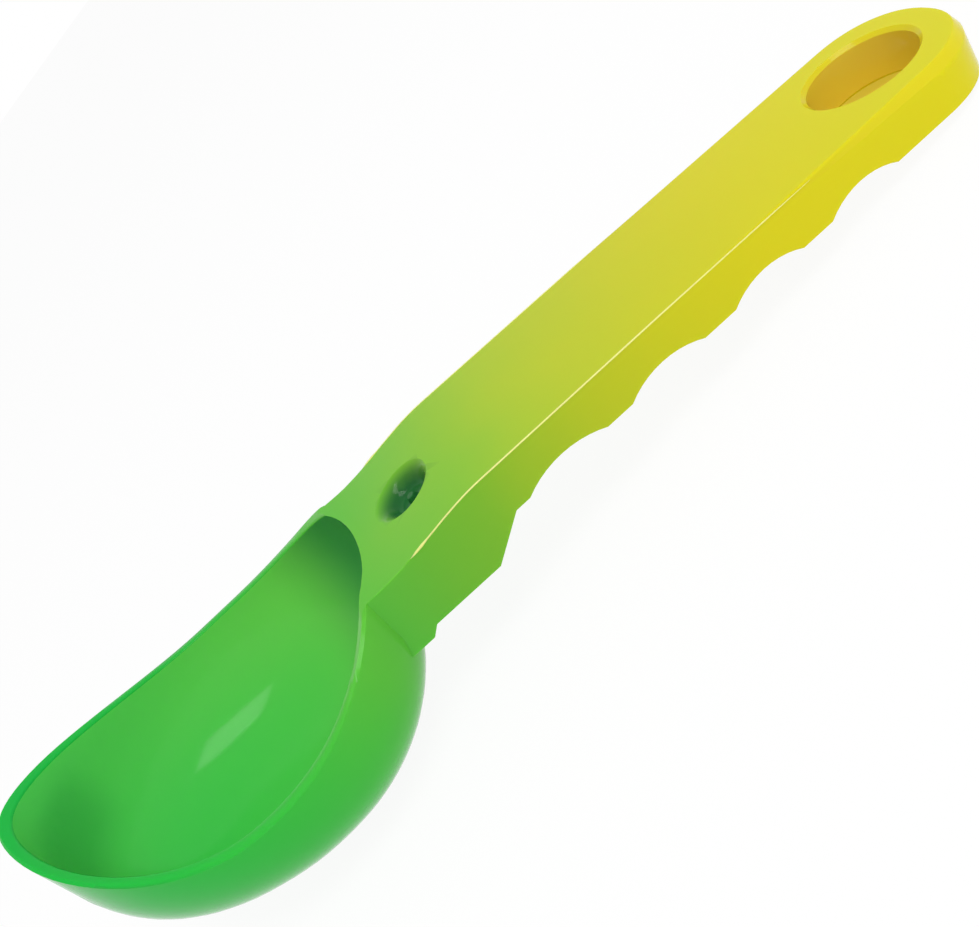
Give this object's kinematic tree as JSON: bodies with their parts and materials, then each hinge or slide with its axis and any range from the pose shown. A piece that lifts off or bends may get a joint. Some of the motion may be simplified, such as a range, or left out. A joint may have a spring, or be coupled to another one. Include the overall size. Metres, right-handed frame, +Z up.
{
  "type": "ice cream scoop",
  "caption": "One-piece moulded ice cream scoop with an egg-shaped bowl, a dipped neck and a flat handle with finger scallops and a hanging hole.",
  "frame": {"origin": "centre of the bounding box's footprint, on the level surface that the scoop lies on", "axes": "+X along the scoop's length, from the bowl's tip towards the hanging end; +Z straight up, out of the bowl's mouth; Y across the width, with the scoop symmetric about Y = 0"},
  "size_m": [0.1836, 0.0578, 0.0417],
  "materials": {
    "plastic": "glossy, slightly translucent moulded plastic; the real colour runs from bright green at the bowl through yellow-green to yellow at the hanging end"
  },
  "bodies": {
    "root": {"scoop": "plastic"}
  },
  "joints": []
}
